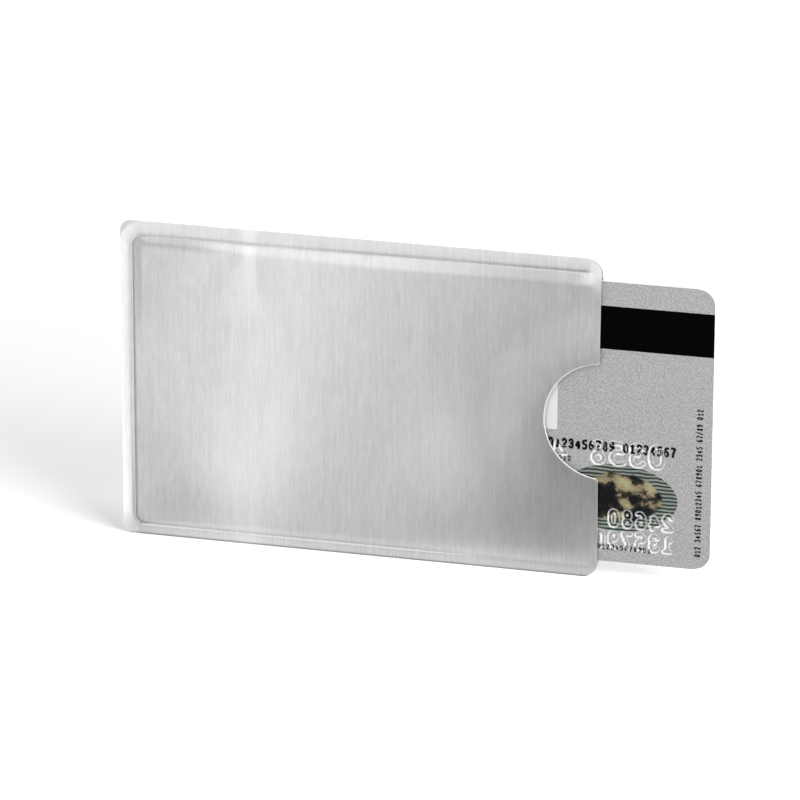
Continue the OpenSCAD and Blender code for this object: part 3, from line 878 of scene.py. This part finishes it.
@cache
def brushed_film():
    """Satin aluminium film with fine upright brush lines."""
    material, nodes, links, shader = new_material(
        "brushed_laminate", Metallic=FILM_METAL, Roughness=0.3, Anisotropic=0.3, Specular_IOR_Level=0.5
    )
    streaks = noise(nodes, links, 1, 1, 0.5, STREAKS)
    broad = noise(nodes, links, 1, 1, 0.5, BROAD_STREAKS)
    clouds = noise(nodes, links, 1, 2, 0.6, CLOUDS)
    mixed = math_node(nodes, links, "MULTIPLY_ADD", broad, BROAD_SHARE, streaks)
    mixed = math_node(nodes, links, "MULTIPLY_ADD", clouds, CLOUD_SHARE, mixed)
    mixed = math_node(nodes, links, "MULTIPLY", mixed, 0.5)
    brushed = ramp(nodes, links, mixed, [(0.3, grey(0.76, 0.003)), (0.8, grey(0.95, 0.003))])
    # The film's colour darkens with painted shade and lightens with a painted highlight
    shade = value_range(nodes, links, point_value(nodes, "painted_light"), 1.2, 0.4, -1, 3)
    colour = nodes.new("ShaderNodeVectorMath")
    colour.operation = "MULTIPLY"
    links.new(brushed, colour.inputs[0])
    links.new(shade, colour.inputs[1])
    links.new(colour.outputs["Vector"], shader.inputs["Base Color"])
    metal = value_range(nodes, links, point_value(nodes, "cut"), FILM_METAL, CUT_METAL, 0, 1)
    links.new(metal, shader.inputs["Metallic"])
    rough = value_range(nodes, links, streaks, 0.28, 0.32)
    links.new(rough, shader.inputs["Roughness"])
    tangent = nodes.new("ShaderNodeTangent")
    tangent.direction_type = "UV_MAP"
    tangent.uv_map = "flat"
    links.new(tangent.outputs["Tangent"], shader.inputs["Tangent"])
    add_bump(nodes, links, shader, streaks, 0.02, 0.00002)
    return material


@cache
def plain_metal(name, colour, roughness):
    """Plain metal with a faint grain."""
    material, nodes, links, shader = new_material(name, Metallic=1.0, Roughness=roughness)
    grain = noise(nodes, links, 1800, 3)
    darker = tuple(0.85 * c for c in colour)
    links.new(ramp(nodes, links, grain, [(0.3, darker), (0.7, colour)]), shader.inputs["Base Color"])
    rough = value_range(nodes, links, grain, roughness - 0.06, roughness + 0.06)
    links.new(rough, shader.inputs["Roughness"])
    add_bump(nodes, links, shader, grain, 0.2, 0.00001)
    return material


@cache
def milky_film(name, colour):
    """Milky plastic film with a soft shine."""
    material, nodes, links, shader = new_material(name, Roughness=0.32, Specular_IOR_Level=0.5)
    cloud = noise(nodes, links, 350, 3)
    darker = tuple(0.93 * c for c in colour)
    links.new(ramp(nodes, links, cloud, [(0.35, darker), (0.65, colour)]), shader.inputs["Base Color"])
    links.new(value_range(nodes, links, cloud, 0.26, 0.4), shader.inputs["Roughness"])
    add_bump(nodes, links, shader, noise(nodes, links, 2500, 2), 0.15, 0.00001)
    return material


@cache
def flat_print(name, colour, roughness, spread=0.12, grain=9000, shine=0.4):
    """A printed or coated surface with a fine grain."""
    material, nodes, links, shader = new_material(name, Roughness=roughness, Specular_IOR_Level=shine)
    speck = noise(nodes, links, grain, 2, 0.7)
    low = tuple(max(c * (1 - spread), 0) for c in colour)
    high = tuple(c * (1 + spread) for c in colour)
    links.new(ramp(nodes, links, speck, [(0.34, low), (0.66, high)]), shader.inputs["Base Color"])
    rough = value_range(nodes, links, speck, roughness - 0.05, roughness + 0.05)
    links.new(rough, shader.inputs["Roughness"])
    add_bump(nodes, links, shader, speck, 0.1, 0.00001)
    return material


@cache
def card_silver():
    """Silver-grey printed plastic with fine sparkle."""
    material, nodes, links, shader = new_material("card_silver", Roughness=0.42, Specular_IOR_Level=0.35)
    grain = noise(nodes, links, 3000, 3, 0.6)
    colour = ramp(nodes, links, grain, [(0.3, grey(0.18)), (0.7, grey(0.36))])
    colour = over_bent_whitening_and_highlight(nodes, links, colour, (0.74, 0.74, 0.74))
    links.new(colour, shader.inputs["Base Color"])
    links.new(value_range(nodes, links, grain, 0.34, 0.5), shader.inputs["Roughness"])
    add_bump(nodes, links, shader, grain, 0.2, 0.00001)
    return material


# The hologram's border, as a squared share of the oval, and the fine stripes in it: their turns
# per metre up the card and how far a noise shifts them
BORDER_SPAN = (0.66, 0.74)
BORDER_WOBBLE = 0.35
STRIPE_TURNS = 9000
STRIPE_SHIFT = 6
STRIPE_COLOURS = [
    (0.1, (0.02, 0.03, 0.03)), (0.4, (0.12, 0.16, 0.09)),
    (0.65, (0.24, 0.29, 0.2)), (0.95, (0.32, 0.34, 0.38)),
]
PATCH_COLOURS = [
    (0.46, (0.008, 0.009, 0.012)), (0.52, (0.05, 0.045, 0.03)),
    (0.56, (0.3, 0.24, 0.15)), (0.68, (0.45, 0.42, 0.24)),
]


@cache
def hologram_foil():
    """Foil with a striped border and dark, tan and olive patches inside it."""
    material, nodes, links, shader = new_material("hologram", Metallic=0.55, Roughness=0.34)
    place = own_axes(nodes, links)
    across = math_node(nodes, links, "ADD", place["X"], -HOLOGRAM_X * MM)
    across = math_node(nodes, links, "DIVIDE", across, HOLOGRAM_HALF_L * MM)
    up = math_node(nodes, links, "ADD", place["Z"], -HOLOGRAM_Z * MM)
    up = math_node(nodes, links, "DIVIDE", up, HOLOGRAM_HALF_H * MM)
    radius = math_node(nodes, links, "MULTIPLY", across, across)
    radius = math_node(nodes, links, "MULTIPLY_ADD", up, up, radius)
    wobble = noise(nodes, links, 420, 2)
    radius = math_node(nodes, links, "MULTIPLY_ADD", wobble, BORDER_WOBBLE, radius)
    border = value_range(nodes, links, radius, 0, 1, *BORDER_SPAN)
    bands = math_node(nodes, links, "MULTIPLY", noise(nodes, links, 300, 2), STRIPE_SHIFT)
    bands = math_node(nodes, links, "MULTIPLY_ADD", place["Z"], STRIPE_TURNS, bands)
    bands = math_node(nodes, links, "SINE", bands)
    stripes = ramp(nodes, links, value_range(nodes, links, bands, 0, 1, -1, 1), STRIPE_COLOURS)
    blotch = noise(nodes, links, 210, 4, 0.62, (1, 1, 1.35))
    patches = ramp(nodes, links, blotch, PATCH_COLOURS)
    colour = mix(nodes, links, "RGB", border, patches, stripes)
    colour = over_bent_whitening_and_highlight(nodes, links, colour, (0.7, 0.71, 0.71))
    links.new(colour, shader.inputs["Base Color"])
    links.new(value_range(nodes, links, blotch, 0.28, 0.42), shader.inputs["Roughness"])
    add_bump(nodes, links, shader, bands, 0.1, 0.00001)
    return material


def core_plastic():
    """White plastic of the card's core."""
    return flat_print("core", grey(0.78), 0.5, 0.03, 1500)


def dress_cad_nodes():
    """Materials of the CAD nodes that show as they are."""
    weld = milky_film("weld", (0.84, 0.85, 0.85))
    core = core_plastic()
    looks = {
        "closed_end_weld": (weld, "weld_plastic"),
        "top_weld": (weld, "weld_plastic"),
        "bottom_weld": (weld, "weld_plastic"),
        "card_inlay": (core, "card_core"),
        "card_front_sheet": (core, "card_core"),
        "magnetic_stripe": (flat_print("stripe", grey(0.001), 0.5, 0.3, 6000, 0.01), "magnetic_black"),
        "signature_panel": (flat_print("signature", grey(0.5), 0.6, 0.03, 3000), "signature_white"),
        "contact_plate": (plain_metal("contact", (0.83, 0.6, 0.24), 0.28), "contact_gold"),
        "chip_capsule": (flat_print("capsule", grey(0.02), 0.5), "capsule_resin"),
        "antenna_coil": (plain_metal("antenna", (0.72, 0.36, 0.16), 0.35), "antenna_copper"),
    }
    for node, (material, slot) in looks.items():
        dress(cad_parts[node], material)


# Camera, as the photograph was taken: its place and view in millimetres and degrees
CAMERA_PLACE = Vector((242.53, -945.16, 380.32)) * MM
CAMERA_AZIMUTH = radians(14.54)
CAMERA_ELEVATION = radians(19.68)
CAMERA_ROLL = radians(0.18)
CAMERA_LENS = 254.3
CAMERA_SENSOR = 36
CAMERA_NEAR, CAMERA_FAR = 0.05, 30


def make_camera():
    """The camera at the photograph's viewing angle."""
    data = bpy.data.cameras.new("camera")
    data.lens = CAMERA_LENS
    data.sensor_width = CAMERA_SENSOR
    data.clip_start, data.clip_end = CAMERA_NEAR, CAMERA_FAR
    camera = bpy.data.objects.new("camera", data)
    level = cos(CAMERA_ELEVATION)
    back = Vector((sin(CAMERA_AZIMUTH) * level, -cos(CAMERA_AZIMUTH) * level, sin(CAMERA_ELEVATION)))
    right = Vector((cos(CAMERA_AZIMUTH), sin(CAMERA_AZIMUTH), 0))
    up = back.cross(right)
    turn = Matrix.Rotation(CAMERA_ROLL, 3, back)
    axes = Matrix((turn @ right, turn @ up, back)).transposed()
    camera.matrix_world = Matrix.Translation(CAMERA_PLACE) @ axes.to_4x4()
    bpy.context.collection.objects.link(camera)
    bpy.context.scene.camera = camera


# Lamps: name, place, width and power. All face one place in the part.
LAMP_TARGET = Vector((0, 0, 0.03))
LAMPS = (
    ("key", (0.78, -0.55, 0.42), 0.6, 12),
    ("left", (-0.38, -0.95, 0.9), 0.16, 6.8),
    ("high", (0.38, -0.14, 1.13), 0.3, 3.2),
    ("rear", (-0.45, 0.9, 0.75), 0.3, 4),
)


def lamp(name, place, size, power):
    """A square soft lamp that neither the camera nor the shine sees."""
    data = bpy.data.lights.new(name, "AREA")
    data.shape = "SQUARE"
    data.size = size
    data.energy = power
    light = bpy.data.objects.new(name, data)
    place = Vector(place)
    turn = (place - LAMP_TARGET).to_track_quat("Z", "Y").to_matrix().to_4x4()
    light.matrix_world = Matrix.Translation(place) @ turn
    light.visible_camera = False
    light.visible_glossy = False
    bpy.context.collection.objects.link(light)


# Strengths of the surroundings as a light and in the shine
WORLD_LIGHT = 0.3
WORLD_SHINE = 1.2


def make_world():
    """Pale surroundings, brighter in the shine and softer as a light."""
    world = bpy.data.worlds.new("studio")
    bpy.context.scene.world = world
    world.use_nodes = True
    nodes, links = world.node_tree.nodes, world.node_tree.links
    path = nodes.new("ShaderNodeLightPath")
    light = nodes["Background"]
    light.inputs["Color"].default_value = (1, 1, 1, 1)
    light.inputs["Strength"].default_value = WORLD_LIGHT
    seen = nodes.new("ShaderNodeBackground")
    shine = nodes.new("ShaderNodeBackground")
    shine.inputs["Strength"].default_value = WORLD_SHINE
    lit, seen, shine = [node.outputs["Background"] for node in (light, seen, shine)]
    surface = mix(nodes, links, "Shader", path.outputs["Is Camera Ray"], lit, seen)
    surface = mix(nodes, links, "Shader", path.outputs["Is Glossy Ray"], surface, shine)
    links.new(surface, nodes["World Output"].inputs["Surface"])


# The floor's glow to the camera rises with the distance from this place, which lies in the shadow
SHADOW_PLACE = (-0.1, 0.04, 0)
GLOW_SPAN = (0.06, 0.24)
GLOW = 0.6
FLOOR_COLOUR = (0.88, 0.88, 0.88)
FLOOR_HALF = 3


def floor_material():
    """White floor that keeps the shadow. Shine on the object shows a soft pool of light on it."""
    material, nodes, links, shader = new_material("floor")
    nodes.remove(shader)
    path = nodes.new("ShaderNodeLightPath")
    diffuse = nodes.new("ShaderNodeBsdfDiffuse")
    diffuse.inputs["Color"].default_value = (*FLOOR_COLOUR, 1)
    glow = nodes.new("ShaderNodeEmission")
    away = nodes.new("ShaderNodeVectorMath")
    away.operation = "DISTANCE"
    away.inputs[1].default_value = SHADOW_PLACE
    links.new(own_place(nodes), away.inputs[0])
    strength = value_step(nodes, links, away.outputs["Value"], *GLOW_SPAN, 0, GLOW)
    links.new(strength, glow.inputs["Strength"])
    lit = nodes.new("ShaderNodeAddShader")
    links.new(diffuse.outputs["BSDF"], lit.inputs[0])
    links.new(glow.outputs["Emission"], lit.inputs[1])
    pool = nodes.new("ShaderNodeEmission")
    links.new(pool_light(nodes, links), pool.inputs["Strength"])
    to_camera, shine = path.outputs["Is Camera Ray"], path.outputs["Is Glossy Ray"]
    seen = mix(nodes, links, "Shader", to_camera, diffuse.outputs["BSDF"], lit.outputs["Shader"])
    surface = mix(nodes, links, "Shader", shine, seen, pool.outputs["Emission"])
    links.new(surface, nodes["Material Output"].inputs["Surface"])
    return material


# The pool of light that the upright panel mirrors: the floor's slant and depth against places
# along the panel and up it, in metres, and where along it the light rises and falls
POOL_SLANT = 0.259
POOL_DEPTH = 2.7
POOL_RISE = (-0.052, -0.033)
POOL_FALL = (-0.034, -0.018)
POOL_MOUTH = (0.010, 0.026)
POOL_RIGHT = (0.06, 0.12)
POOL_START = 0.41
POOL_HIGH = 1.24
POOL_DROP = 0.68
POOL_MOUTH_DROP = 0.42
# Near the panel's foot the light draws close to one level, and high up it grows
POOL_NEAR = 0.56
POOL_NEAR_SPAN = (0.002, 0.019)
POOL_NEAR_KEEP = 0.2
POOL_FAR = 0.25
POOL_FAR_SPAN = (0.075, 0.13)
# A bright side left of the panel, dimmer at the foot
SIDE_EDGE = -0.052
SIDE_SOFT = 0.004
SIDE_SLANT = 0.67
SIDE_FOOT = 0.3
SIDE_FOOT_SPAN = (0.0005, 0.005)
# The dark line where the panel stands, and the light behind it
FOOT_DARK = 0.1
FOOT_SPAN = (0.00008, 0.00034)
POOL_BEHIND = 0.6
BEHIND_SPAN = (-0.0015, -0.0004)
# Soft lighter and darker patches of the light on the floor: from and to along the panel,
# softness, from and to up the panel, softness, in millimetres, and the level added.
PATCHES = (
    (16, 28, 12, 35, 200, 30, 0.55),
    (58, 69, 8, 17, 40, 12, 0.42),
    (48, 200, 20, 50, 200, 24, 0.14),
    (38, 54, 8, 24, 46, 12, -0.14),
    (74, 90, 6, 20, 40, 8, -0.16),
    (56, 90, 12, 5, 11, 4, -0.16),
    (8, 20, 6, 4, 12, 5, -0.12),
    (1, 8, 6, 42, 60, 8, -0.16),
    (19, 27, 5, 46, 60, 8, 0.12),
    (22, 27, 5, 0, 12, 10, 0.1),
    (0, 200, 10, -1, 1.2, 1, 0.12),
)


def pool_light(nodes, links):
    """Brightness of the floor as shine shows it."""

    def sum_of(a, b):
        return math_node(nodes, links, "ADD", a, b)

    place = own_axes(nodes, links)
    along = math_node(nodes, links, "MULTIPLY_ADD", place["Y"], -POOL_SLANT, place["X"])
    height = math_node(nodes, links, "DIVIDE", place["Y"], -POOL_DEPTH)
    left = value_step(nodes, links, along, *POOL_RISE, POOL_START, POOL_HIGH)
    fall = value_step(nodes, links, along, *POOL_FALL, 0, -POOL_DROP)
    mouth = value_step(nodes, links, along, *POOL_MOUTH, 0, -POOL_MOUTH_DROP)
    mouth = sum_of(mouth, value_step(nodes, links, along, *POOL_RIGHT, 0, POOL_DROP))
    pool = sum_of(left, sum_of(fall, mouth))
    near = value_step(nodes, links, height, *POOL_NEAR_SPAN, POOL_NEAR_KEEP, 1)
    pool = sum_of(math_node(nodes, links, "MULTIPLY", sum_of(pool, -POOL_NEAR), near), POOL_NEAR)
    pool = sum_of(pool, value_step(nodes, links, height, *POOL_FAR_SPAN, 0, POOL_FAR))
    for row in PATCHES:
        pool = sum_of(pool, patch(nodes, links, along, height, *row))
    edge = math_node(nodes, links, "MULTIPLY_ADD", height, SIDE_SLANT, along)
    side = value_step(nodes, links, edge, SIDE_EDGE - SIDE_SOFT, SIDE_EDGE, 1, 0)
    risen = value_step(nodes, links, height, *SIDE_FOOT_SPAN, SIDE_FOOT, 1)
    side = math_node(nodes, links, "MULTIPLY", side, risen)
    foot = value_step(nodes, links, height, *FOOT_SPAN, FOOT_DARK, 1)
    pool = math_node(nodes, links, "MULTIPLY", sum_of(pool, side), foot)
    return sum_of(pool, value_step(nodes, links, height, *BEHIND_SPAN, POOL_BEHIND, 0))


def patch(nodes, links, along, height, left, right, soft, low, high, soft_high, level):
    """One soft patch of the light on the floor."""
    window = value_step(nodes, links, along, *metres(left, soft, CLOSED_X), 0, level)
    for source, place, softness, start in ((along, right, soft, CLOSED_X), (height, high, soft_high, 0)):
        kept = value_step(nodes, links, source, *metres(place, softness, start), 1, 0)
        window = math_node(nodes, links, "MULTIPLY", window, kept)
    above = value_step(nodes, links, height, *metres(low, soft_high), 0, 1)
    return math_node(nodes, links, "MULTIPLY", window, above)


def metres(place, soft, start=0):
    """The two ends of a soft step about a place, in metres."""
    return (start + place - soft / 2) * MM, (start + place + soft / 2) * MM


def make_floor():
    """A wide pale floor under the part."""
    mesh = bpy.data.meshes.new("floor")
    corners = [(x * FLOOR_HALF, y * FLOOR_HALF, 0) for x, y in ((-1, -1), (1, -1), (1, 1), (-1, 1))]
    mesh.from_pydata(corners, [], [(0, 1, 2, 3)])
    floor = bpy.data.objects.new("floor", mesh)
    bpy.context.collection.objects.link(floor)
    floor.data.materials.append(floor_material())


def make_studio():
    """Floor, lamps, world and camera."""
    make_floor()
    make_world()
    for row in LAMPS:
        lamp(*row)
    make_camera()
    bpy.context.scene.view_settings.view_transform = "Standard"


panel("front", -1)
panel("back", 1)
card_pieces()
dress_cad_nodes()
make_studio()
